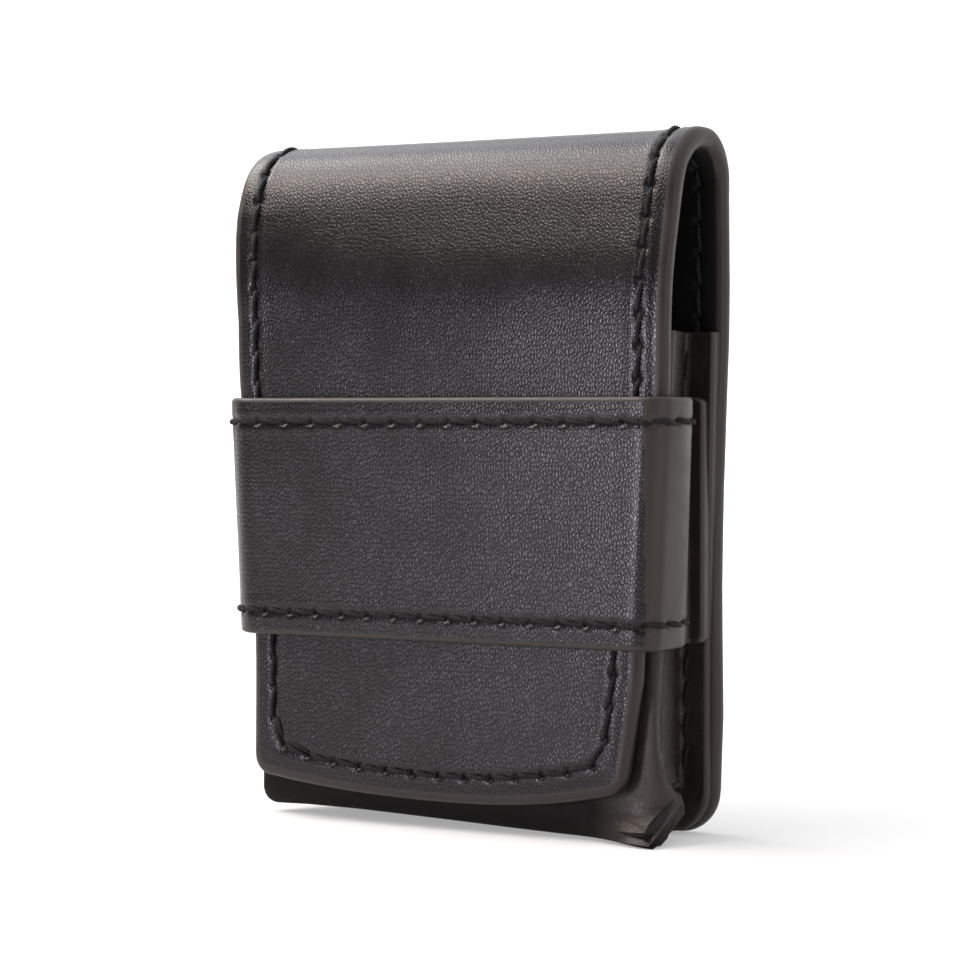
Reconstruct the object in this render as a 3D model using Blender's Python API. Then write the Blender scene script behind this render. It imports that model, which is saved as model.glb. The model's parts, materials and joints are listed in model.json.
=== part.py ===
"""A slim stand-up leather case for a pocket lighter: a back panel that runs over the top into a tucked
front flap, a moulded pocket with a folded bottom corner, a stitched band round the pocket, and the
sewing. Metres, +Z up, the flap faces -Y, and the case stands on its base at z = 0."""

import math

import bmesh
import bpy
import numpy as np
from mathutils import Vector

for old in list(bpy.data.objects):
    bpy.data.objects.remove(old, do_unlink=True)

# Sizes in metres. Every other length follows from these.
mm = 0.001
case_height = 74.6 * mm
strip_half_width = 26.9 * mm  # at the crown
foot_taper = 0.5 * mm  # each side, down the back
entry_taper = 1.2 * mm  # each side, where the flap goes under the band
tongue_taper = 2.9 * mm
outer_leather = 1.3 * mm
lining_leather = 1.1 * mm
glue_gap = 0.2 * mm
edge_chamfer = 0.5 * mm
crown_radius = 6.45 * mm
crown_setback = 2.85 * mm  # of the crown's front behind the flap's face
back_lean = 0.6 * mm
back_corner = 4.6 * mm
back_foot_drop = 0.15 * mm
tongue_corner = 2.2 * mm
tongue_belly = 2.4 * mm
flap_cut = 0.3 * mm
seam_pull = 0.14 * mm  # how far the sewing draws the strip's border in
row_step = 1.15 * mm  # along the strip, where it bends

pocket_leather = 1.0 * mm
layer_gap = 0.3 * mm
pocket_front_y = 2.55 * mm
pocket_inset = 1.3 * mm  # of the pocket's side from the strip's edge
mouth_corner = 0.9 * mm
mouth_flare = 0.5 * mm
pocket_crease_z = 3.3 * mm
pocket_corner = 2.2 * mm
pocket_drop = 0.25 * mm
bottom_arch = 1.1 * mm
foot_zone = 7.0 * mm
beak_forward = 2.9 * mm
beak_spread = 0.9 * mm
beak_reach = 4.6 * mm

band_leather = 0.7 * mm
band_backing_leather = 0.4 * mm
band_glue_gap = 0.12 * mm
band_width = 26.0 * mm
band_over = 0.6 * mm  # of the band's side beyond the strip's edge
band_foot_under = 0.1 * mm
band_swell = 0.3 * mm
band_foot_swell = 0.7 * mm
band_stand = 4.85 * mm  # of the band's face in front of the pocket's
band_corner = 3.6 * mm
band_crease_out = 2.36 * mm  # from the pocket's crease to the band's
band_crease_round = 0.35 * mm
band_chamfer = 0.2 * mm
band_row_inset = 2.5 * mm

thread_radius = 0.24 * mm
thread_lift = 0.05 * mm
stitch_pitch = 3.4 * mm
stitch_inset = 2.9 * mm
stitch_arch = 0.14 * mm
row_start = 0.95 * mm  # of a row's first hole from the cut over the crown
thread_sides = 5

strip_thickness = outer_leather + glue_gap + lining_leather
strip_foot_half_width = strip_half_width - foot_taper
band_entry_half_width = strip_half_width - entry_taper
tongue_half_width = strip_half_width - tongue_taper
flap_face_y = pocket_front_y - layer_gap / 6 - strip_thickness
crown_y = flap_face_y + crown_setback + crown_radius + layer_gap / 6
crown_z = case_height - crown_radius
back_y = crown_y + crown_radius
mouth_z = 0.71046 * case_height
band_high_z = 0.6193 * case_height
band_low_z = band_high_z - band_width
pocket_half_width = strip_half_width - pocket_inset
pocket_crease_x = 0.9004 * pocket_half_width
band_half_width = strip_half_width + band_over
band_foot_half_width = strip_foot_half_width - band_foot_under
band_bulge = band_half_width + band_swell
band_foot_bulge = band_foot_half_width + band_foot_swell
band_front_y = pocket_front_y - band_stand
band_crease_x = pocket_crease_x + band_crease_out
lining_face_y = back_y - back_lean - strip_thickness
pocket_back_y = lining_face_y - layer_gap
flange_face_y = pocket_back_y - pocket_leather
band_flange_y = flange_face_y - layer_gap


def leather(name, colour, roughness):
    material = bpy.data.materials.new(name)
    material.use_nodes = True
    shader = material.node_tree.nodes["Principled BSDF"]
    shader.inputs["Base Color"].default_value = (*colour, 1.0)
    shader.inputs["Roughness"].default_value = roughness
    shader.inputs["Metallic"].default_value = 0.0
    return material


outer_look = leather("outer leather", (0.030, 0.026, 0.031), 0.48)
lining_look = leather("lining leather", (0.016, 0.014, 0.015), 0.6)
pocket_look = leather("pocket leather", (0.032, 0.027, 0.029), 0.5)
band_look = leather("band leather", (0.034, 0.029, 0.034), 0.46)
backing_look = leather("band backing", (0.016, 0.014, 0.015), 0.62)
thread_look = leather("sewing thread", (0.010, 0.009, 0.010), 0.7)


def solid(name, points, faces, material, smooth=True):
    """One closed mesh object, its faces turned outwards."""
    mesh = bpy.data.meshes.new(name)
    mesh.from_pydata([tuple(float(c) for c in p) for p in points], [], faces)
    work = bmesh.new()
    work.from_mesh(mesh)
    bmesh.ops.remove_doubles(work, verts=work.verts, dist=1e-7)
    bmesh.ops.recalc_face_normals(work, faces=work.faces)
    if work.calc_volume(signed=True) < 0:
        bmesh.ops.reverse_faces(work, faces=work.faces)
    work.to_mesh(mesh)
    work.free()
    mesh.materials.append(material)
    obj = bpy.data.objects.new(name, mesh)
    bpy.context.scene.collection.objects.link(obj)
    if smooth:
        mesh.shade_smooth()
        mesh.set_sharp_from_angle(angle=math.radians(35))
    return obj


def ring_loft(rings):
    """Points and faces of a closed body whose rings follow one another, with both ends capped."""
    count, size = len(rings), len(rings[0])
    points = [p for ring in rings for p in ring]
    faces = side_faces(count, size)
    faces.append(tuple(range(size))[::-1])
    faces.append(tuple((count - 1) * size + j for j in range(size)))
    return points, faces


def side_faces(count, size):
    """The quads between rings that follow one another."""
    faces = []
    for at in range(0, (count - 1) * size, size):
        for j in range(size):
            k = (j + 1) % size
            faces.append((at + j, at + k, at + size + k, at + size + j))
    return faces


# The strip's outer line in the Y-Z plane, from the foot of the back, over the crown, to the tongue's end.
# The flap's points are shares of the crown's radius, off the flap's face, and of the case's height.
flap_shape = (
    (0.3566, 0.89142),
    (0.2558, 0.85523),
    (0.1473, 0.82038),
    (0.0651, 0.77748),
    (0.0341, 0.72386),
    (0.0279, 0.61662),
    (0.0124, 0.44236),
    (0.0, 0.26810),
    (-0.0279, 0.13405),
    (-0.0496, 0.03887),
)


def strip_line():
    line = [(back_y - back_lean, -back_foot_drop)]
    line += [(back_y - back_lean, share * case_height) for share in (0.1, 0.2, 0.34)]
    line += [(back_y - 0.45 * back_lean, 0.62 * case_height), (back_y, 0.82 * case_height)]
    for degrees in range(0, 171, 5):
        a = math.radians(degrees)
        line.append((crown_y + crown_radius * math.cos(a), crown_z + crown_radius * math.sin(a)))
    line += [(flap_face_y + off * crown_radius, up * case_height) for off, up in flap_shape]
    return np.array(line)


def smooth_line(corners, per=12):
    """A Catmull-Rom curve through the corners, as a dense line."""
    p = np.vstack([2 * corners[0] - corners[1], corners, 2 * corners[-1] - corners[-2]])
    out = []
    for i in range(1, len(p) - 2):
        a, b, c, d = p[i - 1 : i + 3]
        ta = np.linalg.norm(b - a) ** 0.5
        tb = ta + np.linalg.norm(c - b) ** 0.5
        tc = tb + np.linalg.norm(d - c) ** 0.5
        for t in np.linspace(ta, tb, per, endpoint=False):
            ab = (ta - t) / ta * a + t / ta * b
            bc = (tb - t) / (tb - ta) * b + (t - ta) / (tb - ta) * c
            cd = (tc - t) / (tc - tb) * c + (t - tb) / (tc - tb) * d
            abc = (tb - t) / tb * ab + t / tb * bc
            bcd = (tc - t) / (tc - ta) * bc + (t - ta) / (tc - ta) * cd
            out.append((tb - t) / (tb - ta) * abc + (t - ta) / (tb - ta) * bcd)
    out.append(p[-2])
    return np.array(out)


line = smooth_line(strip_line())
steps = np.linalg.norm(np.diff(line, axis=0), axis=1)
run = np.concatenate([[0.0], np.cumsum(steps)])
strip_length = float(run[-1])
top = int(line[:, 1].argmax())
crown_run = float(run[top])
hinge_y, hinge_z = float(line[top, 0]), float(line[top, 1])
mouth_run = float(np.interp(-mouth_z, -line[top:, 1], run[top:]))
band_run = float(np.interp(-band_high_z, -line[top:, 1], run[top:]))
tongue_run = float(np.interp(-band_low_z, -line[top:, 1], run[top:]))
slopes = np.gradient(line, run, axis=0)
slopes /= np.linalg.norm(slopes, axis=1)[:, None]
outward = np.stack([slopes[:, 1], -slopes[:, 0]], 1)


def on_strip(x, s, lift):
    """The point at x across and s along the strip's outer face, lifted off it."""
    y = np.interp(s, run, line[:, 0]) + lift * np.interp(s, run, outward[:, 0])
    z = np.interp(s, run, line[:, 1]) + lift * np.interp(s, run, outward[:, 1])
    return (float(x), float(y), float(z))


def strip_half(s):
    """Half the strip's width at s: even at the back, narrowing down the flap to the tongue."""
    at = [0.0, crown_run * 0.8, mouth_run - 0.067 * case_height, band_run, tongue_run, strip_length]
    wide = [strip_foot_half_width, strip_half_width, strip_half_width, band_entry_half_width]
    return float(np.interp(s, at, [*wide, 0.25 * entry_taper + tongue_half_width, tongue_half_width]))


def strip_rows(first, last, corner, belly, at_foot):
    """Rows (s at the middle, s at the edge, half width) between two stations, with one end rounded off."""
    dense = np.arange(first, last, row_step)
    bend_a, bend_b = crown_run - 2.17 * crown_radius, crown_run + 3.72 * crown_radius
    keep = [s for i, s in enumerate(dense) if bend_a < s < bend_b or i % 5 == 0]
    end = last if not at_foot else first
    inward = -1.0 if not at_foot else 1.0
    plain = [s for s in keep if inward * (s - end) > corner + 0.7 * row_step]
    plain = sorted({first, *plain} if not at_foot else {*plain, last})
    rows = [(s, s, strip_half(s)) for s in plain]
    tip = []
    for k in range(7):
        a = math.radians(90 * k / 6)
        edge = end + inward * (belly + corner * (1 - math.sin(a)))
        half = strip_half(end) - corner * (1 - math.cos(a))
        middle = end + inward * corner * (1 - math.sin(a)) * (1 if k < 6 else 0)
        tip.append((middle, edge, half))
    return rows + tip if not at_foot else tip[::-1] + rows


def strip_layer(name, rows, depths, chamfers, drawn_in, material):
    """A layer of the strip between two depths under its outer face, with its edge chamfered on one side and
    its outer border drawn in."""
    (out, inn), (chamfer_out, chamfer_in) = depths, chamfers
    across = np.linspace(-1, 1, 9)
    rings = []
    for middle, edge, half in rows:
        ring = []
        rounded = abs(middle - edge) > 1e-6 or half < strip_half(middle) - 1e-6
        for depth, cut, order in ((out, chamfer_out, across), (inn, chamfer_in, across[::-1])):
            for a in order:
                x = a * (half - cut)
                s = middle + (edge - middle) * abs(a) ** 2.2
                border = drawn_in if depth == out and (rounded or abs(a) == 1) else 0.0
                ring.append(on_strip(x, s, -depth - border))
            sign = order[-1]
            low, high = (depth + cut, inn - chamfer_in) if depth == out else (inn - cut, out + chamfer_out)
            ring.append(on_strip(sign * half, edge, -low))
            if abs(high - low) > 1e-6:
                ring.append(on_strip(sign * half, edge, -high))
        rings.append(ring)
    points, faces = ring_loft(rings)
    return solid(name, points, faces, material)


root_rows = strip_rows(0.0, crown_run - flap_cut / 2, back_corner, 0.0, True)
flap_rows = strip_rows(crown_run + flap_cut / 2, strip_length, tongue_corner, tongue_belly, False)
outside, inside = (0.0, outer_leather), (outer_leather + glue_gap, strip_thickness)
for part, part_rows in (("back", root_rows), ("flap", flap_rows)):
    strip_layer(f"{part}_outer", part_rows, outside, (edge_chamfer, 0.0), seam_pull, outer_look)
    strip_layer(f"{part}_lining", part_rows, inside, (0.0, edge_chamfer), 0.0, lining_look)


# The pocket: a shell lofted from the front towards the back panel, on a flange that lies on the lining.
# Its bottom edge is arched, higher at the left, and the right bottom corner is drawn out to a folded beak.
def bottom_rise(x):
    """How far the bottom edge stands off the ground at x."""
    at = np.array([-0.98, -0.78, -0.27, 0.16, 0.47, 0.82, 1.02]) * pocket_half_width
    return float(np.interp(x, at, np.array([1.0, 1.0, 0.86, 0.68, 0.36, 0.09, 0.0]) * bottom_arch))


pocket_shape = (0.96, 0.985, 0.965, 0.925, 0.90)
columns = (0.9, 0.75, 0.5, 0.2, -0.2, -0.5, -0.75, -0.9)


def pocket_rows(share, inset, y):
    """Rows of points from the mouth down to the foot, each from right to left, at a share of the way back."""
    half = float(np.interp(share, [0.0, 0.12, 0.35, 0.7, 1.0], pocket_shape)) * pocket_half_width
    foot = float(np.interp(share, [0.0, 0.12, 0.45, 1.0], [0.2, 0.03, 0.15, 1.0])) * pocket_crease_z
    corner = pocket_corner * float(np.interp(share, [0.0, 0.3, 1.0], [1.0, 0.8, 1.1]))
    corner = max(corner - inset, 0.18 * pocket_corner)
    half, foot = half - inset, foot + inset
    high = mouth_z if inset == 0 else mouth_z + 3 * pocket_leather
    right = [(half * 0.985, high), (half, high - 0.113 * mouth_z), (half, 0.5 * mouth_z)]
    right.append((half, 0.25 * mouth_z))
    right += [(half, foot + 3.6 * corner), (half, foot + 2.0 * corner)]
    for a in np.radians(np.linspace(0, -90, 6)):
        right.append((half - corner + corner * math.cos(a), foot + corner + corner * math.sin(a)))
    rows = []
    for x_side, z_side in right:
        row = []
        for part in (1.0, *columns, -1.0):
            x = x_side * part
            lean = np.interp(z_side / mouth_z, [0, 0.377, 1], [0.0, 0.3 * mouth_flare, mouth_flare])
            lean = float(lean) * (1.0 - share)
            rise = bottom_rise(x) * (1.0 - share) * max(0.0, 1.0 - z_side / foot_zone)
            drop = pocket_drop * max(0.0, 1.0 - z_side / (1.28 * foot_zone))
            row.append((x, y + lean, z_side + rise - drop))
        rows.append(row)
    return rows


def pocket_body(inset, depths, first_pulls, move):
    """A closed body: each station's border as a ring, with the first and last stations' rows as caps."""
    points, caps = [], []
    stations = [pocket_rows(share, inset, y) for y, share in depths]
    for rows, pull in zip(stations, first_pulls):
        for row in rows:
            for n, (x, y, z) in enumerate(row):
                into = pull * abs(x) / pocket_half_width
                up = pull if z < 0.43 * foot_zone else -0.25 * pull
                row[n] = (x - math.copysign(min(abs(x), into), x), y, z + up)
    last_row = len(stations[0]) - 1
    size = 0
    for n, rows in enumerate(stations):
        border = [(i, 0) for i in range(last_row)] + [(last_row, j) for j in range(len(rows[0]))]
        border += [(i, -1) for i in range(last_row - 1, -1, -1)]
        border += [(0, j) for j in range(len(rows[0]) - 2, 0, -1)]
        size = len(border)
        start = len(points)
        points += [move(rows[i][j]) for i, j in border]
        if n in (0, len(stations) - 1):
            width = len(rows[0])
            caps.append({(i, j % width): start + k for k, (i, j) in enumerate(border)})
    faces = side_faces(len(stations), size)
    for cap, rows, flip in ((caps[0], stations[0], True), (caps[1], stations[-1], False)):
        for i in range(1, last_row):
            for j in range(1, len(rows[0]) - 1):
                cap[(i, j)] = len(points)
                points.append(move(rows[i][j]))
        for i in range(last_row):
            for j in range(len(rows[0]) - 1):
                quad = (cap[(i, j)], cap[(i + 1, j)], cap[(i + 1, j + 1)], cap[(i, j + 1)])
                faces.append(quad[::-1] if flip else quad)
    return points, faces


def drawn_out(point):
    """Moves a point near the right bottom front corner out towards the beak's tip."""
    x, y, z = point
    corner = (pocket_half_width - 0.5 * pocket_leather, pocket_front_y, 0.5 * pocket_leather)
    reach = (beak_reach, 1.087 * beak_reach, 0.913 * beak_reach)
    off = sum(((p - c) / r) ** 2 for p, c, r in zip(point, corner, reach))
    pull = (1.0 - off) ** 2 if off < 1.0 else 0.0
    lowest = max(z - beak_spread * pull, -pocket_drop)
    return (x + beak_spread * pull, y - beak_forward * pull, lowest)


shell_depth = pocket_back_y - pocket_front_y
outer_depths = [
    (pocket_front_y, 0.0),
    (pocket_front_y + 0.052 * shell_depth, 0.06),
    (pocket_front_y + 0.166 * shell_depth, 0.16),
    (pocket_front_y + 0.352 * shell_depth, 0.35),
    (pocket_front_y + 0.66 * shell_depth, 0.7),
    (pocket_back_y - 0.5 * pocket_leather, 1.0),
]
inner_depths = [
    (pocket_front_y + pocket_leather, 0.10),
    (pocket_front_y + pocket_leather + 0.124 * shell_depth, 0.2),
    (pocket_front_y + 0.394 * shell_depth, 0.38),
    (pocket_front_y + 0.66 * shell_depth, 0.7),
    (pocket_back_y, 1.0),
    (pocket_back_y + 2 * pocket_leather, 1.0),
]
edge_pulls = (0.25 * pocket_corner, 0.055 * pocket_corner)
pocket_shell = solid("pocket", *pocket_body(0.0, outer_depths, edge_pulls, drawn_out), pocket_look)
pocket_void = solid("pocket void", *pocket_body(pocket_leather, inner_depths, (), tuple), pocket_look)


def panel_outline(half_top, half_foot, foot, high, corner, top_corner):
    """A rounded upright panel's outline in X-Z."""
    right = [(half_top - top_corner, high), (half_top, high - top_corner)]
    right.append((half_foot, foot + corner))
    for k in range(1, 7):
        a = math.radians(-90 * k / 6)
        right.append((half_foot - corner + corner * math.cos(a), foot + corner + corner * math.sin(a)))
    return right + [(-x, z) for x, z in right[::-1]]


flange_half = strip_half(mouth_z) - layer_gap
flange_foot = (strip_foot_half_width - layer_gap, layer_gap / 3)
flange_line = panel_outline(flange_half, *flange_foot, mouth_z - layer_gap / 2, back_corner, mouth_corner)
flange = solid(
    "pocket flange",
    *ring_loft([[(x, y, z) for x, z in flange_line] for y in (flange_face_y, pocket_back_y)]),
    pocket_look,
)


def join(body, other, how):
    """Applies one Boolean and removes the helper."""
    change = body.modifiers.new(how, "BOOLEAN")
    change.object = other
    change.operation = how
    change.solver = "EXACT"
    graph = bpy.context.evaluated_depsgraph_get()
    made = bpy.data.meshes.new_from_object(body.evaluated_get(graph))
    body.modifiers.clear()
    body.data = made
    bpy.data.objects.remove(other, do_unlink=True)


join(pocket_shell, flange, "UNION")
join(pocket_shell, pocket_void, "DIFFERENCE")

# A small under-fold at the left, opposite the beak, so that the case stands on three places.
fold_size = 1.3 * pocket_leather
fold_x, fold_y, fold_z = -0.8 * pocket_half_width, pocket_back_y - 4 * pocket_leather, 1.19 * fold_size
fold_rings = []
for k in range(5):
    r = fold_size * (0.346 + math.sin(math.pi * k / 4))
    y = fold_y + fold_size * (k - 2)
    ways = [math.radians(b) for b in range(0, 360, 45)]
    fold_rings.append([(fold_x + 1.6 * r * math.cos(b), y, fold_z + 0.86 * r * math.sin(b)) for b in ways])
join(pocket_shell, solid("under fold", *ring_loft(fold_rings), pocket_look), "UNION")
pocket_shell.data.shade_smooth()
pocket_shell.data.set_sharp_from_angle(angle=math.radians(38))


# The band: a path in plan with a round front corner, a bulging side and a round crease, at any depth under
# its outer face. share runs from the band's lower edge to its upper one.
def band_path(share, depth):
    half = band_foot_half_width + share * (band_half_width - band_foot_half_width)
    bulge = band_foot_bulge + share * (band_bulge - band_foot_bulge)
    crease_y = band_flange_y - band_leather - band_backing_leather - band_glue_gap
    front = (half - band_corner, band_front_y + band_corner)
    right = [(0.0, band_front_y), (0.5 * half, band_front_y)]
    for a in np.radians(np.linspace(-90, -12, 8)):
        right.append((front[0] + band_corner * math.cos(a), front[1] + band_corner * math.sin(a)))
    side_y = crease_y - band_crease_round
    depth_y = side_y - band_front_y
    for into, back in ((0.14, 0.507), (0.0, 0.628), (0.64, 0.757)):
        right.append((bulge - into * band_leather, band_front_y + back * depth_y))
    right.append((0.5 * (bulge + band_crease_x) - 0.14 * band_leather, band_front_y + 0.878 * depth_y))
    for a in np.radians(np.linspace(205, 90, 6)):
        r = band_crease_round
        right.append((band_crease_x + r + r * math.cos(a), side_y + r * math.sin(a)))
    right.append((strip_half_width - edge_chamfer, crease_y))
    path = np.array([(-x, y) for x, y in right[:0:-1]] + right)
    ways = np.diff(path, axis=0)
    ways /= np.linalg.norm(ways, axis=1)[:, None]
    normals = np.stack([-ways[:, 1], ways[:, 0]], 1)
    before, after = np.vstack([normals[:1], normals]), np.vstack([normals, normals[-1:]])
    mitre = (before + after) / (1.0 + (before * after).sum(axis=1))[:, None]
    return [tuple(p) for p in path + depth * mitre]


def band_layer(name, out, inn, chamfer_out, chamfer_in, material):
    columns = []
    shares = np.linspace(0.0, 1.0, 6)
    for depth, cut in ((out, chamfer_out), (inn, -chamfer_in)):
        order = shares if depth == out else shares[::-1]
        for share in order:
            z = band_low_z + share * (band_high_z - band_low_z)
            into = abs(cut) * (1.0 if share == 0.0 else -1.0 if share == 1.0 else 0.0)
            face = (band_path(share, depth), z + into)
            edge = (band_path(share, depth + cut), z)
            if not into:
                columns.append(face)
            elif share == order[0]:
                columns += [edge, face]
            else:
                columns += [face, edge]
    rings = []
    for i in range(len(columns[0][0])):
        rings.append([(*path[i], z) for path, z in columns])
    return solid(name, *ring_loft(rings), material)


band_layer("band_outer", 0.0, band_leather, band_chamfer, 0.0, band_look)
backing_from = band_leather + band_glue_gap
backing_to = backing_from + band_backing_leather
band_layer("band_lining", backing_from, backing_to, 0.0, band_chamfer / 2, backing_look)


# Sewing: one tube for each row, arched over each stitch and low at each hole.
def even(points, step):
    """The line resampled at an even step, with its own length kept."""
    p = np.array(points)
    length = np.concatenate([[0.0], np.cumsum(np.linalg.norm(np.diff(p, axis=0), axis=1))])
    count = max(2, round(length[-1] / step))
    at = np.linspace(0, length[-1], count + 1)
    return np.stack([np.interp(at, length, p[:, k]) for k in range(p.shape[1])], 1)


def thread(name, places, lifted):
    """places are (point, outward way) pairs four to a stitch; lifted raises each one."""
    path = [Vector(p) + Vector(n) * h for (p, n), h in zip(places, lifted)]
    rings = []
    for i, spot in enumerate(path):
        way = (path[min(i + 1, len(path) - 1)] - path[max(i - 1, 0)]).normalized()
        up = Vector(places[i][1])
        side = way.cross(up).normalized()
        up = side.cross(way).normalized()
        rings.append([
            tuple(spot + thread_radius * (math.cos(t) * side + math.sin(t) * up))
            for t in (2 * math.pi * k / thread_sides for k in range(thread_sides))
        ])
    return solid(name, *ring_loft(rings), thread_look)


def strip_thread(name, turn_points, rounding):
    """A row that follows x-s points on the strip, its corners rounded."""
    flat = []
    for i, (x, s) in enumerate(turn_points):
        if i in (0, len(turn_points) - 1):
            flat.append((x, s))
            continue
        here = np.array((x, s))
        before = np.array(turn_points[i - 1]) - here
        after = np.array(turn_points[i + 1]) - here
        a = here + before * min(0.5, rounding / np.linalg.norm(before))
        b = here + after * min(0.5, rounding / np.linalg.norm(after))
        for t in np.linspace(0, 1, 5):
            flat.append(tuple((1 - t) ** 2 * a + 2 * t * (1 - t) * here + t**2 * b))
    spots = even(flat, stitch_pitch / 4)
    places = []
    for x, s in spots:
        low, high = Vector(on_strip(x, s, 0.0)), Vector(on_strip(x, s, outer_leather))
        places.append((low, (high - low).normalized()))
    base = thread_radius + thread_lift
    lifted = [base + stitch_arch * math.sin(math.pi * (i % 4) / 4) for i in range(len(spots))]
    return thread(name, places, lifted)


row_half = strip_half_width - stitch_inset
tongue_row_half = tongue_half_width - stitch_inset
flap_from = crown_run + flap_cut / 2 + row_start
row_end = strip_length - stitch_inset
belly_row = []
for share in np.linspace(-1, 1, 11):
    belly_row.append((share * tongue_row_half, row_end - tongue_belly * abs(share) ** 2.2))
tongue_row_top = tongue_row_half + 0.07 * tongue_taper
strip_thread(
    "flap_thread",
    [
        (-row_half, flap_from),
        (-row_half, mouth_run),
        (-tongue_row_top, tongue_run),
        *belly_row,
        (tongue_row_top, tongue_run),
        (row_half, mouth_run),
        (row_half, flap_from),
    ],
    0.68 * tongue_corner,
)
foot_row_half = strip_foot_half_width - stitch_inset
back_from = crown_run - flap_cut / 2 - row_start
strip_thread(
    "back_thread",
    [
        (-row_half, back_from),
        (-foot_row_half, stitch_inset),
        (foot_row_half, stitch_inset),
        (row_half, back_from),
    ],
    0.48 * back_corner,
)


def band_thread(name, z):
    """A row round the band's outer face at one height."""
    share = (z - band_low_z) / (band_high_z - band_low_z)
    path = band_path(share, 0.0)
    kept = [p for p in path if p[1] < band_flange_y - 3.6 * pocket_leather]
    spots = even([(x, y) for x, y in kept], stitch_pitch / 4)
    places = []
    for i, (x, y) in enumerate(spots):
        way = spots[min(i + 1, len(spots) - 1)] - spots[max(i - 1, 0)]
        out = Vector((way[1], -way[0], 0.0)).normalized()
        places.append((Vector((x, y, z)), out))
    base = thread_radius + 2.2 * thread_lift
    lifted = [base + stitch_arch * math.sin(math.pi * (i % 4) / 4) for i in range(len(spots))]
    return thread(name, places, lifted)


band_thread("band_thread_top", band_high_z - band_row_inset)
band_thread("band_thread_bottom", band_low_z + band_row_inset)


# The side seams, seen on the face of the pocket's flange above and below the band.
def seam_thread(name, side, low, high):
    seam_x = pocket_crease_x + 0.85 * pocket_leather
    spots = even([(side * seam_x, low), (side * seam_x, high)], stitch_pitch / 4)
    places = [(Vector((x, flange_face_y, z)), Vector((0.0, -1.0, 0.0))) for x, z in spots]
    base = thread_radius + thread_lift
    lifted = [base + stitch_arch * math.sin(math.pi * (i % 4) / 4) for i in range(len(spots))]
    return thread(name, places, lifted)


for side, word in ((-1, "left"), (1, "right")):
    seam_thread(f"seam_thread_{word}_low", side, 2 * pocket_crease_z, band_low_z - 2 * layer_gap)
    seam_thread(f"seam_thread_{word}_high", side, band_high_z + 2 * layer_gap, mouth_z - 4 * layer_gap)

# The whole part is centred over its base, and the flap turns about the crown's outer line.
pieces = [o for o in bpy.context.scene.objects if o.type == "MESH"]
bpy.context.view_layer.update()
corners = np.array([v.co for o in pieces for v in o.data.vertices])
low, high = corners.min(axis=0), corners.max(axis=0)
shift = Vector((-(low[0] + high[0]) / 2, -(low[1] + high[1]) / 2, -low[2]))
hinge = Vector((0.0, hinge_y, hinge_z)) + shift
for piece in pieces:
    home = hinge if piece.name.startswith("flap") else Vector((0.0, 0.0, 0.0))
    for vertex in piece.data.vertices:
        vertex.co = vertex.co + shift - home
    piece.location = home
print("moved by mm", [round(c / mm, 3) for c in shift], "hinge mm", [round(c / mm, 3) for c in hinge])
print("size mm", [round(float(c) / mm, 2) for c in high - low])
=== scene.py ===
"""The looks of a slim stand-up leather case for a pocket lighter: one leather strip that is the back, the
crown and the tucked flap, a moulded pocket, a band sewn round it, and all the sewing. Metres, +Z up."""

import json
import math

import bmesh
import bpy
import numpy as np
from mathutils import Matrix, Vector, noise
from mathutils.geometry import delaunay_2d_cdt

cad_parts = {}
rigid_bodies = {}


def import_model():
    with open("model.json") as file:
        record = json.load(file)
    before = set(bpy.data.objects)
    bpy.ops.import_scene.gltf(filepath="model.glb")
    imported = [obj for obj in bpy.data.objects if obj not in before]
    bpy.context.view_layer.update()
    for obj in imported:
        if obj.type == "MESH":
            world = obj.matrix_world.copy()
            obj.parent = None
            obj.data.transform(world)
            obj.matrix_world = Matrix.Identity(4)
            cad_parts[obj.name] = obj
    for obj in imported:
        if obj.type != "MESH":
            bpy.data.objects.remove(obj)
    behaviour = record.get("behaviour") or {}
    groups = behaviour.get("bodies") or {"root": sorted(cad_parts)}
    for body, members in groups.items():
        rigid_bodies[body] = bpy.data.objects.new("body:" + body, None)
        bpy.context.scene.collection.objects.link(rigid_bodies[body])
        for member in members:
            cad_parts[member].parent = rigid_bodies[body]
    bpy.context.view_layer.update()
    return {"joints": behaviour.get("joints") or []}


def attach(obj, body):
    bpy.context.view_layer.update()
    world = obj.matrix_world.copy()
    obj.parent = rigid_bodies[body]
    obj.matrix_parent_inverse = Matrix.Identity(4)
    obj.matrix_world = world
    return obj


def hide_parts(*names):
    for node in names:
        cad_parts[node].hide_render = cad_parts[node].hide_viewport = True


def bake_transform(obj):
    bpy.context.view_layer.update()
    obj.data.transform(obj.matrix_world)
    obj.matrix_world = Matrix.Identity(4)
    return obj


for old in list(bpy.data.objects):
    bpy.data.objects.remove(old, do_unlink=True)
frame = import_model()

# The camera: the photograph was taken with a long lens from the front right, about 32 degrees round from the
# flap, and looks down a little.
camera = bpy.data.objects.new("camera", bpy.data.cameras.new("camera"))
bpy.context.scene.collection.objects.link(camera)
bpy.context.scene.camera = camera
camera.location = (0.16675, -0.265179, 0.04455)
camera.rotation_euler = (math.radians(88.71), 0.0, math.radians(32.0))
camera.data.sensor_width = 36.0
camera.data.lens = 108.19
camera.data.clip_start, camera.data.clip_end = 0.01, 20.0

# The strip: one length of two-ply leather, pebbled outside and lined inside, that is the back panel, the
# crown and the flap with its tongue. Its cut edges are sanded round and painted. It bends over the crown.
mm = 0.001
case_height = 74.6 * mm
strip_half_width = 26.9 * mm
strip_thickness = 2.6 * mm
crown_radius = 6.45 * mm
crown_y, back_y, back_lean = 9.25 * mm, 15.7 * mm, 0.6 * mm
tongue_belly = 2.4 * mm  # how much lower the tongue's end hangs in its middle than at its corners
stitch_pitch, stitch_inset = 3.4 * mm, 2.9 * mm
hinge = Vector(frame["joints"][0]["pos_m"])
home = np.array((hinge.x, hinge.y - crown_y, hinge.z - case_height))


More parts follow.
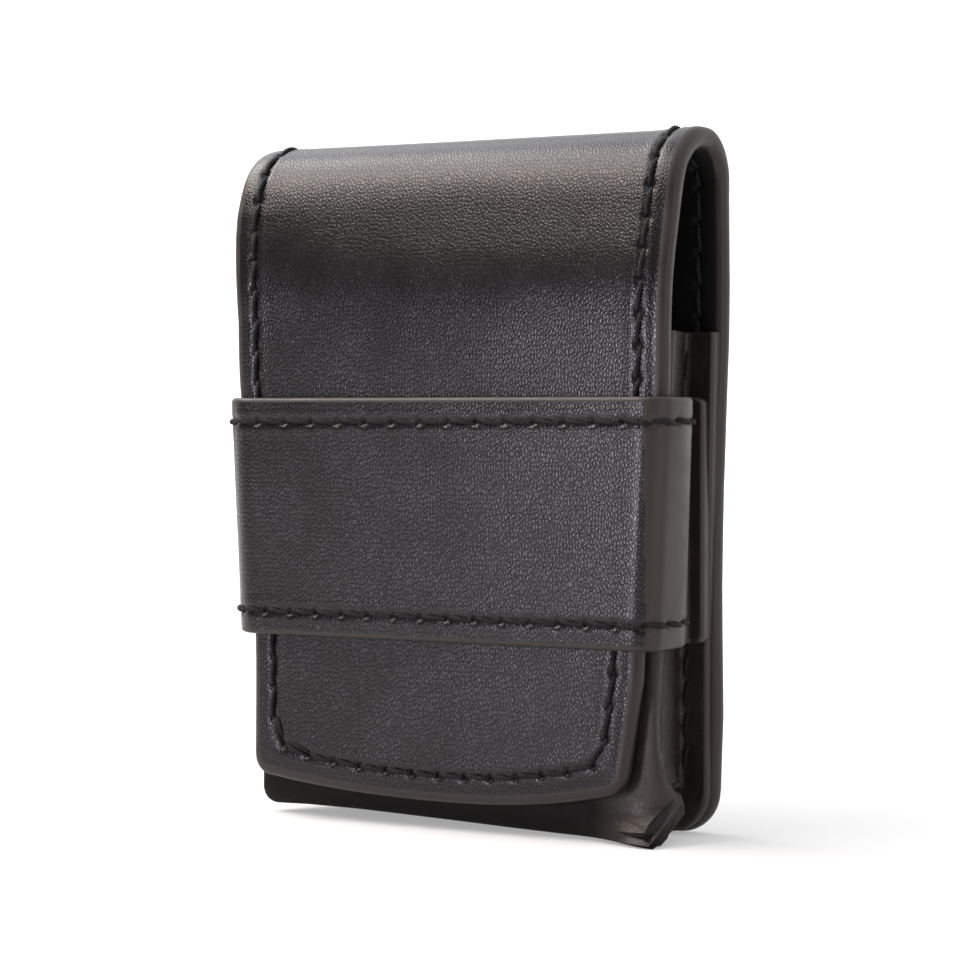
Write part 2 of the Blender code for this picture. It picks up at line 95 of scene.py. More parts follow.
def smooth_line(corners, per=24):
    """A centripetal Catmull-Rom curve through the corners, as a dense line."""
    p = np.vstack([2 * corners[0] - corners[1], corners, 2 * corners[-1] - corners[-2]])
    out = []
    for i in range(1, len(p) - 2):
        a, b, c, d = p[i - 1 : i + 3]
        ta = np.linalg.norm(b - a) ** 0.5
        tb = ta + np.linalg.norm(c - b) ** 0.5
        tc = tb + np.linalg.norm(d - c) ** 0.5
        for t in np.linspace(ta, tb, per, endpoint=False):
            ab = (ta - t) / ta * a + t / ta * b
            bc = (tb - t) / (tb - ta) * b + (t - ta) / (tb - ta) * c
            cd = (tc - t) / (tc - tb) * c + (t - tb) / (tc - tb) * d
            abc = (tb - t) / tb * ab + t / tb * bc
            bcd = (tc - t) / (tc - ta) * bc + (t - ta) / (tc - ta) * cd
            out.append((tb - t) / (tb - ta) * abc + (t - ta) / (tb - ta) * bcd)
    out.append(p[-2])
    return np.array(out)


def travelled(line):
    """The length travelled along a line at each of its points."""
    return np.concatenate([[0.0], np.cumsum(np.linalg.norm(np.diff(line, axis=0), axis=1))])


# The outer face in profile: up the back, over the crown, and down the flap to the tongue's end.
profile = [(back_y - back_lean, z * mm) for z in (-0.15, 7.46, 14.92, 25.36)]
profile += [(back_y - 0.45 * back_lean, 46.25 * mm), (back_y, 61.17 * mm)]
for a in np.radians([0, 5, 10, 15, *range(20, 141, 10), 145, 150, 154, 158]):
    profile.append((crown_y + crown_radius * math.cos(a), case_height + crown_radius * (math.sin(a) - 1.0)))
flap_front = [(2.8, 69.2), (2.33, 67.5), (2.09, 66.5), (1.45, 63.8), (0.87, 61.2), (0.36, 58.0)]
flap_front += [(0.12, 54.0), (0.08, 46.0), (-0.02, 33.0), (-0.1, 20.0), (-0.28, 10.0), (-0.42, 2.9)]
profile += [(y * mm, z * mm) for y, z in flap_front]
strip_line = smooth_line(np.array(profile))
strip_run = travelled(strip_line)
strip_length = float(strip_run[-1])
crown_run = float(strip_run[strip_line[:, 1].argmax()])
slopes = np.gradient(strip_line, strip_run, axis=0)
slopes /= np.linalg.norm(slopes, axis=1)[:, None]


def run_at(z):
    """How far along the strip the flap's face comes down to this height."""
    front = strip_line[:, 1].argmax()
    return float(np.interp(-z, -strip_line[front:, 1], strip_run[front:]))


def on_strip(x, s, lift):
    """Points x across and s along the strip's outer face, lifted off it, in the frame. The leather has
    settled unevenly: out at the left below the crown, and in at the tongue's right."""
    x, s, lift = (np.asarray(v, float) for v in np.broadcast_arrays(x, s, lift))
    run, down = (s - crown_run) / mm, (strip_length - s) / mm
    left = np.clip(-x / strip_half_width, 0, 1) ** 1.5
    right = np.clip(x / strip_half_width, 0, 1) ** 1.5
    s = s + 0.75 * mm * np.clip(-x / (24 * mm), 0, 1) ** 2.4 * np.interp(down, [1, 10], [1, 0])
    y = np.interp(s, strip_run, strip_line[:, 0]) + lift * np.interp(s, strip_run, slopes[:, 1])
    z = np.interp(s, strip_run, strip_line[:, 1]) - lift * np.interp(s, strip_run, slopes[:, 0])
    stand_out = np.interp(run, *zip(*bulge_at_left)) * left * mm
    wider_back = np.interp(-run, *zip(*wider_at_back)) * right * mm
    lean = np.interp(down, *zip(*tongue_lean)) * right * mm
    crown_sag = np.interp(run, [-6, -1, 8, 20], [0, 1, 1, 0]) * (0.32 * mm + 0.0040 * x)
    right_end = np.clip((x / mm - 21.5) / 5, 0, 1) ** 1.5
    flare = 0.72 * mm * (right_end * np.interp(run, [-18, -11, -3, 4], [0, 1, 1, 0]))
    z = z - crown_sag + flare
    drawn_in = np.interp(down, [22, 26], [0.35, 0.0]) * left * mm
    return np.stack([x - 0.56 * stand_out - drawn_in + wider_back - lean, y - 0.76 * stand_out, z], -1) + home


# How far the leather has moved, in mm, by the way in mm from the top of the crown, down the flap or down the
# back, and for the tongue by the way up from its end.
bulge_at_left = [(-9, 0), (0, 0.8), (4, 1.3), (9, 1.6), (11.7, 1.68), (14.1, 1.5), (17.4, 1.04), (20.7, 0.6)]
bulge_at_left += [(23.9, 0.27), (30, 0.15), (34, 0.0)]
wider_at_back = [(0, 0.1), (12, 0.15), (20, 0.35), (26, 0.38), (34, 0.2), (42, 0.06), (52, 0.06)]
wider_at_back += [(66, 0.34), (74, 0.12)]
tongue_lean = [(1.3, 2.6), (4.4, 2.05), (8.6, 1.35), (12.8, 0.62), (14.1, 0.4), (17.3, 0.35), (24, 0.0)]
half_at = [0.0, crown_run * 0.8, run_at(48 * mm), run_at(46.2 * mm), run_at(43.5 * mm), run_at(36 * mm)]
half_at = np.array(half_at + [run_at(20.2 * mm), strip_length])
half_is = np.array([26.4, 26.9, 26.9, 26.8, 26.4, 25.4, 24.5, 24.3]) * mm
half_spots = smooth_line(np.stack([half_at, half_is], 1))


def strip_half(s):
    """Half the strip's width at s."""
    return np.interp(s, half_spots[:, 0], half_spots[:, 1])


def strip_outline(inset, step):
    """The strip's flat outline moved inwards, anticlockwise from the middle of the foot, with the same count
    of points at every inset."""
    foot_corner = max(4.6 * mm - inset, 0.9 * mm)
    tongue_corner = float(np.interp(inset / mm, [0, 1, 2.9, 5.2], [1.7, 1.2, 2.3, 2.6])) * mm
    foot_half, tongue_half = strip_half(0.0) - inset, strip_half(strip_length) - inset
    end = strip_length - inset
    side_end = end - tongue_belly - tongue_corner
    foot_count, side_count = round(strip_half(0.0) / step), round(strip_length / step)
    end_count = round(strip_half(strip_length) / step)
    right = [(x, inset) for x in np.linspace(0, foot_half - foot_corner, foot_count, endpoint=False)]
    for a in np.linspace(-90, 0, 26, endpoint=False):
        c, n = math.cos(math.radians(a)), math.sin(math.radians(a))
        right.append((foot_half - foot_corner * (1 - c), inset + foot_corner * (1 + n)))
    for s in np.linspace(inset + foot_corner, side_end, side_count, endpoint=False):
        right.append((strip_half(s) - inset, s))
    for a in np.linspace(0, 90, 14, endpoint=False):
        c, n = math.cos(math.radians(a)), math.sin(math.radians(a))
        x = tongue_half - tongue_corner * (1 - c)
        right.append((x, end - tongue_belly * (abs(x) / tongue_half) ** 2.2 - tongue_corner * (1 - n)))
    for x in np.linspace(tongue_half - tongue_corner, 0, end_count, endpoint=False):
        right.append((x, end - tongue_belly * (abs(x) / tongue_half) ** 2.2))
    right.append((0.0, end))
    right = np.array(right)
    left = right[1:-1][::-1] * (-1, 1)
    return np.vstack([right, left])


def holes_round(line):
    """Needle holes at an even step round a closed flat line, as near the stitch pitch as goes."""
    p = np.vstack([line, line[:1]])
    way = travelled(p)
    at = np.linspace(0, way[-1], round(way[-1] / stitch_pitch) + 1)[:-1]
    return np.stack([np.interp(at, way, p[:, k]) for k in (0, 1)], 1)


strip_holes = holes_round(strip_outline(stitch_inset, 0.28 * mm))


def nearest(points, holes):
    """The distance from each flat point to the nearest hole."""
    best = np.full(len(points), 1.0)
    for hole in holes:
        best = np.minimum(best, np.hypot(*(points - hole).T))
    return best


def waves(points, size, seed):
    """Smooth waves from -1 to 1 over flat points, the same on each run."""
    values = [noise.fractal(Vector((x / size, y / size, seed)), 1.0, 2.0, 2) for x, y in points]
    return np.array(values)


def sewn_relief(off, hole, groove_deep, groove_wide, pit_deep):
    """How the leather rises and dips at the way off a row of sewing and the way to its nearest hole: a groove
    under the thread, a pit at each hole, and a soft swell between the holes and beside the row."""
    groove = -groove_deep * mm * np.exp(-((off / (groove_wide * mm)) ** 2))
    pit = -pit_deep * mm * np.exp(-((hole / (0.42 * mm)) ** 2))
    swell = 0.035 * mm * np.exp(-(((np.abs(off) - 0.85 * mm) / (0.45 * mm)) ** 2))
    swell *= 0.35 + 0.65 * np.clip(hole / (1.3 * mm), 0, 1)
    return groove + pit + swell


def piece(name, points, faces, materials, slots, flat=None, marks=None):
    """A smooth mesh object with its materials by face, its flat pattern in mm and named values by point."""
    mesh = bpy.data.meshes.new(name)
    mesh.from_pydata([tuple(map(float, p)) for p in points], [], faces)
    for material in materials:
        mesh.materials.append(material)
    mesh.polygons.foreach_set("material_index", np.asarray(slots, np.int32))
    if flat is not None:
        layer = mesh.uv_layers.new(name="pattern")
        corners = np.empty(len(mesh.loops), np.int32)
        mesh.loops.foreach_get("vertex_index", corners)
        layer.data.foreach_set("uv", (np.asarray(flat)[corners] / mm).astype(np.float32).ravel())
    for word, values in (marks or {}).items():
        made = mesh.attributes.new(word, "FLOAT", "POINT")
        made.data.foreach_set("value", np.asarray(values, np.float32))
    mesh.shade_smooth()
    mesh.validate()
    obj = bpy.data.objects.new(name, mesh)
    bpy.context.scene.collection.objects.link(obj)
    return obj


def mend(obj, weld=0.0):
    """Join the points that lie within weld of each other, and turn every face outwards."""
    work = bmesh.new()
    work.from_mesh(obj.data)
    if weld:
        bmesh.ops.remove_doubles(work, verts=work.verts, dist=weld)
    bmesh.ops.recalc_face_normals(work, faces=work.faces)
    work.to_mesh(obj.data)
    work.free()


class Finish:
    """A new material, or the tree of nodes given, whose nodes are put in and joined by short calls."""

    def __init__(self, name, tree=None):
        if tree is None:
            self.material = bpy.data.materials.new(name)
            self.material.use_nodes = True
            tree = self.material.node_tree
            self.shader = tree.nodes["Principled BSDF"]
        self.tree = tree

    def put(self, socket, value):
        if isinstance(value, bpy.types.NodeSocket):
            self.tree.links.new(value, socket)
        else:
            socket.default_value = value

    def node(self, kind, inputs=None, **settings):
        made = self.tree.nodes.new("ShaderNode" + kind)
        for key, value in settings.items():
            setattr(made, key, value)
        for key, value in (inputs or {}).items():
            self.put(made.inputs[key], value)
        return made

    def sum(self, kind, a, b=0.0, c=0.0):
        return self.node("Math", {0: a, 1: b, 2: c}, operation=kind).outputs[0]

    def ramp(self, value, low, high, to_low=0.0, to_high=1.0):
        inputs = {"Value": value, "From Min": low, "From Max": high, "To Min": to_low, "To Max": to_high}
        return self.node("MapRange", inputs, interpolation_type="SMOOTHSTEP").outputs[0]

    def blend(self, share, first, second):
        """A mix of two colours, each a socket or three numbers."""
        made = self.node("Mix", {0: share}, data_type="RGBA")
        for socket, colour in ((6, first), (7, second)):
            self.put(made.inputs[socket], (*colour, 1.0) if isinstance(colour, tuple) else colour)
        return made.outputs[2]

    def noise(self, where, scale, detail, **more):
        inputs = {"Vector": where, "Scale": scale, "Detail": detail}
        inputs.update({key.capitalize(): value for key, value in more.items()})
        return self.node("TexNoise", inputs).outputs["Fac"]

    def dress(self, height, **looks):
        """Set the shader's own sockets, and bump the surface by a height in metres."""
        for key, value in looks.items():
            socket = "Specular IOR Level" if key == "sheen" else key.replace("_", " ").title()
            self.put(self.shader.inputs[socket], value)
        bump = self.node("Bump", {"Height": height, "Distance": 1.0, "Strength": 1.0})
        self.put(self.shader.inputs["Normal"], bump.outputs["Normal"])
        return self.material


def grain(finish, where, cell, depth, crease, tall=1.0):
    """Pebbled leather grain: small domed cells parted by creases, with finer ones on top. Gives the height,
    how far out of a crease a point is, and a broad unevenness. The cell is in mm of the flat pattern."""
    warp = finish.node("TexNoise", {"Vector": where, "Scale": 0.9 / cell, "Detail": 2.0, "Roughness": 0.6})
    centred = finish.node("VectorMath", {0: warp.outputs["Color"], 1: (0.5, 0.5, 0.5)}, operation="SUBTRACT")
    push = finish.node("VectorMath", {0: centred.outputs[0], "Scale": 0.55 * cell}, operation="SCALE")
    bent = finish.node("VectorMath", {0: where, 1: push.outputs[0]}, operation="ADD").outputs[0]
    bent = finish.node("VectorMath", {0: bent, 1: (tall, 1.0 / tall, 1.0)}, operation="MULTIPLY").outputs[0]
    heights = []
    for size, share in ((1.0, 1.0), (0.52, 0.30)):
        cells = finish.node(
            "TexVoronoi",
            {"Vector": bent, "Scale": 1.0 / (cell * size), "Randomness": 0.95},
            feature="DISTANCE_TO_EDGE",
            voronoi_dimensions="2D",
        )
        heights.append(finish.sum("MULTIPLY", finish.ramp(cells.outputs["Distance"], 0.0, crease), share))
    total = finish.sum("ADD", heights[0], heights[1])
    total = finish.sum("MULTIPLY_ADD", finish.noise(where, 0.9 / cell, 1.0), 0.35, total)
    broad = finish.noise(where, 0.11, 3.0)
    strength = finish.ramp(broad, 0.3, 0.7, 0.75, 1.15)
    return finish.sum("MULTIPLY", total, finish.sum("MULTIPLY", strength, depth)), heights[0], broad


def pebbled(name, dark, light):
    """The strip's and band's finished outer leather, with painted shade in the creases and in the needle
    holes: a darker colour and a weaker reflection there.
    """
    finish = Finish(name)
    where = finish.node("UVMap", uv_map="pattern").outputs["UV"]
    height, open_cell, broad = grain(finish, where, 0.43, 0.0120 * mm, crease=0.38, tall=1.15)
    hole = finish.node("Attribute", attribute_name="hole").outputs["Fac"]
    tone = finish.blend(finish.ramp(broad, 0.35, 0.65), dark, light)
    # Painted shade: the creases are darkened in colour.
    tone = finish.blend(finish.ramp(open_cell, 0.0, 0.7, 0.25, 1.0), (0.0025, 0.0022, 0.0022), tone)
    # The creases and needle holes are rougher, and as painted shade their reflection is weaker.
    rough = finish.sum("MULTIPLY_ADD", hole, 0.35, finish.ramp(open_cell, 0.0, 1.0, 0.28, 0.22))
    sheen = finish.sum("MULTIPLY_ADD", hole, -0.20, finish.ramp(open_cell, 0.0, 0.9, 0.27, 0.43))
    return finish.dress(
        height,
        # Painted shade: the needle holes are darker still.
        base_color=finish.blend(hole, tone, (0.0015, 0.0013, 0.0013)),
        roughness=rough,
        sheen=sheen,
        specular_tint=(1.0, 0.96, 1.0, 1.0),
    )


def painted_edge(name, colour, rough):
    """Edge paint over sanded leather: smooth, and a little uneven."""
    finish = Finish(name)
    where = finish.node("TexCoord").outputs["Object"]
    slow = finish.noise(where, 260.0, 3.0, roughness=0.55)
    fine = finish.noise(where, 2400.0, 2.0)
    lighter = tuple(1.3 * c for c in colour)
    return finish.dress(
        finish.sum("MULTIPLY_ADD", slow, 0.05 * mm, finish.sum("MULTIPLY", fine, 0.006 * mm)),
        base_color=finish.blend(finish.ramp(slow, 0.3, 0.7), colour, lighter),
        roughness=finish.ramp(slow, 0.3, 0.7, rough, rough + 0.12),
        sheen=0.40,
        specular_tint=(1.0, 0.92, 0.88, 1.0),
    )


def matt_lining(name, colour):
    """Thin smooth lining leather with a fine shallow grain, and painted shade in its needle holes."""
    finish = Finish(name)
    where = finish.node("UVMap", uv_map="pattern").outputs["UV"]
    height, open_cell, broad = grain(finish, where, 0.42, 0.012 * mm, crease=0.25)
    hole = finish.node("Attribute", attribute_name="hole").outputs["Fac"]
    lighter = tuple(1.5 * c for c in colour)
    tone = finish.blend(finish.ramp(broad, 0.3, 0.7), colour, lighter)
    return finish.dress(
        height,
        # Painted shade: the needle holes are darker.
        base_color=finish.blend(hole, tone, (0.002, 0.002, 0.002)),
        roughness=finish.ramp(open_cell, 0.0, 1.0, 0.68, 0.55),
        sheen=0.25,
    )


strip_leather = pebbled("pebbled leather", (0.0062, 0.0052, 0.0054), (0.0090, 0.0077, 0.0085))
edge_paint = painted_edge("strip edge paint", (0.0135, 0.0105, 0.0100), 0.40)
lining_leather = matt_lining("strip lining", (0.0030, 0.0026, 0.0026))

# Each loop of the rim in mm: how far in from the outline, and how deep under the outer face. The zone of the
# sewing follows inside it on both faces, and reaches as far as its last loop.
full_deep, lining_deep, painted_deep = strip_thickness / mm, 0.08, 0.03
rim = [(1.48, 0.0), (1.28, 0.012), (1.05, 0.034), (0.82, 0.08), (0.62, 0.15), (0.44, 0.25), (0.28, 0.39)]
rim += [(0.15, 0.58), (0.06, 0.83), (0.015, 1.08), (0.0, 1.30)]
rim += [(d, full_deep - depth) for d, depth in rim[:-1][::-1]]
sewn_zone = [1.62, 1.86, 2.08, 2.28, 2.46, 2.62, 2.76, 2.9, 3.04, 3.18, 3.34, 3.52, 3.72]
sewn_zone += [3.95, 4.25, 4.65, 5.15]
loops = [(d, 0.0) for d in sewn_zone[::-1]] + rim + [(d, full_deep) for d in sewn_zone]
strip_step = 0.29 * mm
flat_loops = [strip_outline(d * mm, strip_step) for d, depth in loops]
per_loop = len(flat_loops[0])
flat = np.vstack(flat_loops)
inset = np.repeat([d * mm for d, depth in loops], per_loop)
depth = np.repeat([depth * mm for d, depth in loops], per_loop)

# Inside the loops the two faces are filled with an even net of points.
mesh_step, sewn_reach = 1.05 * mm, sewn_zone[-1] * mm
inside = []
for i, s in enumerate(np.arange(5.9 * mm, strip_length - 5.8 * mm, mesh_step * 0.87)):
    wide = float(strip_half(s)) - sewn_reach - 0.5 * mesh_step
    for x in np.arange(-26 * mm, 26 * mm, mesh_step) + (i % 2) * mesh_step / 2:
        belly = tongue_belly * (abs(x) / (18.8 * mm)) ** 2.2
        if abs(x) < wide and s < strip_length - sewn_reach - 0.55 * mesh_step - belly:
            inside.append((x, s))
inside = np.array(inside)
border_and_inside = [Vector(p) for p in np.vstack([flat_loops[0], inside])]
cut = delaunay_2d_cdt(border_and_inside, [], [list(range(per_loop))], 1, 1e-7)
fill_faces = [[cut[3][i][0] for i in face] for face in cut[2]]

outer_count = len(flat)
flat = np.vstack([flat, inside, inside])
inset = np.concatenate([inset, np.full(2 * len(inside), 9.0 * mm)])
depth = np.concatenate([depth, np.zeros(len(inside)), np.full(len(inside), strip_thickness)])
on_face, on_lining = depth == 0.0, depth > strip_thickness - 1e-6
relief = np.zeros(len(flat))
near_row = (inset < 5.2 * mm) & (inset > 1.3 * mm)
hole_off = nearest(flat[near_row], strip_holes)
relief[near_row] = sewn_relief(inset[near_row] - stitch_inset, hole_off, 0.10, 0.42, 0.34)
soft = np.clip((inset - 1.2 * mm) / (3.5 * mm), 0, 1)
relief += soft * 0.014 * mm * waves(flat, 13 * mm, 3.0)
# The outer face is pressed down towards its edge, most at the right and away from the crown.
margin = 0.32 * mm * np.clip((2.75 * mm - inset) / (1.45 * mm), 0, 1)
margin *= np.clip(1 - depth / (1.3 * mm), 0, 1) * np.interp(flat[:, 0] / mm, [-20, 10], [0.3, 1.0])
margin *= np.interp(np.abs(flat[:, 1] - crown_run) / mm, [9, 16], [0.2, 1.0])
lift = np.where(on_lining, -depth - 0.6 * relief, np.where(on_face, -depth + relief, -depth)) - margin
lift = lift + 0.035 * mm * waves(flat, 9 * mm, 8.0) * (inset < 1.3 * mm)
# How near each point is to a needle hole, where the finishes paint shade.
hole_shade_mark = np.zeros(len(flat))
hole_shade_mark[near_row] = np.exp(-((hole_off / (0.36 * mm)) ** 2))

faces, slots = [], []
for k in range(len(loops) - 1):
    depth_mid = 0.5 * (loops[k][1] + loops[k + 1][1])
    slot_here = 2 if loops[k][1] >= full_deep - lining_deep else 1 if depth_mid > painted_deep else 0
    base = k * per_loop
    for j in range(per_loop):
        i = (j + 1) % per_loop
        faces.append((base + j, base + per_loop + j, base + per_loop + i, base + i))
        slots.append(slot_here)
top_shift, low_start = outer_count - per_loop, (len(loops) - 1) * per_loop
for face in fill_faces:
    faces.append([i if i < per_loop else i + top_shift for i in face][::-1])
    slots.append(0)
    faces.append([low_start + i if i < per_loop else i + top_shift + len(inside) for i in face])
    slots.append(2)
points = on_strip(flat[:, 0], flat[:, 1], lift)
strip_looks = [strip_leather, edge_paint, lining_leather]
strip = piece("leather_strip", points, faces, strip_looks, slots, flat, {"hole": hole_shade_mark})
mend(strip)
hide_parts("back_outer", "back_lining", "flap_outer", "flap_lining")
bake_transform(strip)

# The strip's sewing: one saddle-stitched row of thick twisted thread all round, with each stitch slanted and
# half sunk between its two holes, outside and inside, and two stitches sewn back over the end.
thread_radius = 0.30 * mm


def twisted_stitches(name, pairs, place, slant, rise, sunk=0.42):
    """Stitches between pairs of flat holes, laid on a surface by place(x, y, lift): three plies wound on each
    other, that rise from sunk ends and lie aslant."""
    plies, stations, sides = 3, 13, 6
    a, b = np.array([p[0] for p in pairs]), np.array([p[1] for p in pairs])
    share = np.linspace(0, 1, stations)
    along = b - a
    length = np.hypot(*along.T)
    across = np.stack([-along[:, 1], along[:, 0]], 1) / length[:, None]
    jitter = np.array([noise.noise(Vector((p[0] * 900, p[1] * 900, 1.7))) for p in a])
    other = np.array([noise.noise(Vector((p[0] * 700, p[1] * 700, 7.1))) for p in a])
    lean = slant * (0.5 - share)[None] * (1 + 0.9 * other[:, None]) + 0.10 * mm * jitter[:, None]
    reach = 0.5 + (share - 0.5) * 0.94
    spots = a[:, None] + along[:, None] * reach[None, :, None] + across[:, None] * lean[..., None]
    arch = np.sin(np.pi * share) ** 0.6
    lift = (-sunk + (rise + sunk) * arch) * mm
    lift = lift[None] + 0.10 * mm * jitter[:, None] * arch
    centre = place(spots[..., 0], spots[..., 1], lift)
    higher = place(spots[..., 0], spots[..., 1], lift + 0.5 * mm)
    up = higher - centre
    up /= np.linalg.norm(up, axis=-1, keepdims=True)
    way = np.gradient(centre, axis=1)
    way /= np.linalg.norm(way, axis=-1, keepdims=True)
    side = np.cross(way, up)
    side /= np.linalg.norm(side, axis=-1, keepdims=True)
    up = np.cross(side, way)
    around = np.linspace(0, 2 * np.pi, sides + 1)[:-1]
    radius, wound = thread_radius * 0.56, thread_radius * 0.5
    turn = 2 * np.pi * (length[:, None] * share[None] / (1.25 * mm) + 3.0 * jitter[:, None])
    all_points, all_faces = [], []
    thick = 0.75 + 0.25 * np.sin(np.pi * share)
    for ply in range(plies):
        angle = turn + 2 * np.pi * ply / plies
        outwards = np.cos(angle)[..., None] * side + np.sin(angle)[..., None] * up
        middle = centre + wound * thick[:, None] * outwards
        ring = np.cos(around)[:, None] * side[:, :, None] + np.sin(around)[:, None] * up[:, :, None]
        tube = middle[:, :, None] + radius * thick[:, None, None] * ring
        start = sum(len(p) for p in all_points)
        all_points.append(tube.reshape(-1, 3))
        for n in range(len(a)):
            base = start + n * stations * sides
            for i in range(stations - 1):
                for j in range(sides):
                    k = (j + 1) % sides
                    q = base + i * sides
                    all_faces.append((q + j, q + k, q + sides + k, q + sides + j))
            all_faces.append(tuple(base + j for j in range(sides))[::-1])
            all_faces.append(tuple(base + (stations - 1) * sides + j for j in range(sides)))
    return piece(name, np.vstack(all_points), all_faces, [thread], np.zeros(len(all_faces)))


def waxed_thread(name, dark, light):
    """Twisted, lightly waxed black thread: fibres that catch a little light, and dark between."""
    finish = Finish(name)
    where = finish.node("TexCoord").outputs["Object"]
    fuzz = finish.noise(where, 5200.0, 4.0, roughness=0.7)
    broad = finish.sum("MULTIPLY", finish.noise(where, 420.0, 2.0), 0.4)
    share = finish.ramp(finish.sum("MULTIPLY_ADD", fuzz, 0.6, broad), 0.42, 0.62)
    return finish.dress(
        finish.sum("MULTIPLY", fuzz, 0.05 * mm),
        base_color=finish.blend(share, dark, light),
        roughness=finish.ramp(fuzz, 0.3, 0.7, 0.52, 0.75),
        sheen=0.28,
    )


thread = waxed_thread("waxed thread", (0.0014, 0.0012, 0.0012), (0.0048, 0.0042, 0.0042))
closed_row = list(zip(strip_holes, np.roll(strip_holes, -1, axis=0)))


def sewn_over(hole):
    """Whether a stitch is one of the two that are sewn twice, at the tongue's lower left corner."""
    return -21.0 * mm < hole[0] < -14.0 * mm and hole[1] > strip_length - 9 * mm


aside = np.array([(0.35, -0.45), (0.30, -0.40)]) * mm
sewn_back = [(p + aside[0], q + aside[1]) for p, q in closed_row if sewn_over(p)]
strip_sewing = twisted_stitches("strip_sewing", closed_row + sewn_back, on_strip, -0.34 * mm, 0.10, sunk=0.48)
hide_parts("back_thread", "flap_thread")
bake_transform(strip_sewing)


def on_lining_face(x, s, lift):
    """Points on the strip's lining, lifted inwards off it."""
    return on_strip(x, s, -strip_thickness - lift)


inner_sewing = twisted_stitches("strip_sewing_inside", closed_row, on_lining_face, -0.30 * mm, 0.14)
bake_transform(inner_sewing)

# The pocket: thin smooth leather moulded over a form into a tray, with a sewn flange on the back panel.
# Its bottom edge is arched, and the right bottom corner stands out as a folded beak over an open pleat.
pocket_face_y, pocket_deep, flange_y = 2.55, 9.65, 11.2  # from here on in mm, as the tray is
mouth_z, lowest_z = 53.0, -0.25
tray = [
    # half width, foot, corner radius, how far back; from the flange's border over the side wall to the front
    (26.15, 0.35, 4.5, 11.20),
    (25.0, 1.45, 3.8, 11.20),
    (24.0, 2.45, 3.2, 11.20),
    (23.6, 2.9, 2.9, 11.14),
    (23.27, 3.1, 2.7, 10.90),
    (23.2, 3.0, 2.5, 10.50),
    (23.36, 2.5, 2.2, 9.80),
    (23.62, 1.9, 1.9, 8.90),
    (24.05, 1.1, 1.6, 7.40),
    (24.42, 0.5, 1.4, 6.00),
    (24.76, 0.15, 1.3, 4.80),
    (24.98, 0.15, 1.25, 4.00),
    (25.08, 0.38, 1.2, 3.60),
    (25.04, 0.75, 1.2, 3.28),
    (24.86, 1.2, 1.2, 2.98),
    (24.5, 1.65, 1.2, 2.78),
    (24.0, 2.1, 1.2, 2.65),
    (23.3, 2.55, 1.2, 2.58),
    (22.3, 3.3, 1.2, 2.55),
    (20.8, 4.8, 1.2, 2.55),
    (18.0, 7.6, 1.2, 2.55),
    (14.0, 11.3, 1.2, 2.55),
    (9.0, 16.3, 1.2, 2.55),
    (4.5, 20.8, 1.0, 2.55),
    (1.6, 23.7, 0.8, 2.55),
]
tray = smooth_line(np.array(tray), per=4)


def tray_ring(half, foot, corner):
    """A U in X-Z from the mouth down the right, along the foot and up the left, with a fixed count."""
    down = np.linspace(0, 1, 96, endpoint=False) ** 0.9
    right = [(half, z) for z in mouth_z + (foot + corner - mouth_z) * down]
    for a in np.linspace(0, -90, 14, endpoint=False):
        c, n = math.cos(math.radians(a)), math.sin(math.radians(a))
        right.append((half - corner * (1 - c), foot + corner * (1 + n)))
    right += [(x, foot) for x in np.linspace(half - corner, 0, 60)]
    return np.array(right + [(-x, z) for x, z in right[-2::-1]])


def falloff(distance):
    """1 at no distance, smoothly down to 0 at a distance of 1."""
    return np.clip(1.0 - distance, 0.0, 1.0) ** 2 * (1.0 + 2.0 * np.clip(distance, 0.0, 1.0))


def moulded(points):
    """The tray's points pulled to the shape seen: leaning front, a mouth that flares, and an arched foot."""
    x, y, z = points.T.copy()
    share = np.clip((y - pocket_face_y) / pocket_deep, 0, 1)
    at_side = np.clip(np.abs(x) / 25, 0, 1) ** 2
    x = x + np.sign(x) * 1.3 * np.clip((z - 20) / 33, 0, 1) * (1 - 0.5 * share) * at_side
    x = x - 0.5 * np.clip(-x / 25, 0, 1) ** 3 * np.clip((14 - z) / 6, 0, 1)
    y = y + np.interp(z, [0, 20, 53], [0.0, 0.15, 0.5]) * (1 - share)
    arch_x = [-25, -20, -13, -7, 0, 6, 12, 18, 26]
    rise = np.interp(x, arch_x, [0.98, 1.15, 1.1, 0.9, 0.65, 0.4, 0.2, 0.05, 0.0])
    z = z + rise * (1 - share) * np.clip(1 - z / 7, 0, 1) - 0.25 * np.clip(1 - z / 9, 0, 1)
    return np.stack([x, y, z], 1)


grid = []
for half, foot, corner, y in tray:
    ring = tray_ring(half, foot, corner)
    grid.append(np.column_stack([ring[:, 0], np.full(len(ring), y), ring[:, 1]]))
grid = np.array(grid)
rows, cols = grid.shape[:2]
outer = moulded(grid.reshape(-1, 3)).reshape(rows, cols, 3)

# The beak: at the right the front's fold runs out to a wing, its free edge slants down to the tip, and
# under it the pleat is open down to the lip of the bottom leather.
at_row = np.arange(rows) / 4
wall_end, arc_end, half_cols = 96, 110, cols // 2
fold_row, hollow_row, lip_row, free_row, front_row = 12, 10.7, 9.3, 6.0, 19.0
fold_x = ([4.18, 5.25, 7.0, 9.6, 12.6, 20], [26.8, 26.25, 25.46, 24.9, 24.75, 25.08])
fold_y = ([4.18, 5.25, 7.0, 9.6, 12.6, 20], [5.0, 4.4, 3.85, 3.5, 3.45, 3.75])
edge_line = np.array([(26.8, 5.0, 4.18), (26.1, 2.7, 2.2), (25.35, 0.3, 0.12)])
hollow_line = np.array([(24.9, 6.4, 4.3), (24.3, 3.9, 2.1), (24.9, 1.6, 0.35)])
lip_line = np.array([(25.8, 7.2, 2.75), (26.0, 4.0, 1.25), (25.5, 0.95, -0.25)])
shift = {row: np.zeros((cols, 3)) for row in (fold_row, hollow_row, lip_row)}
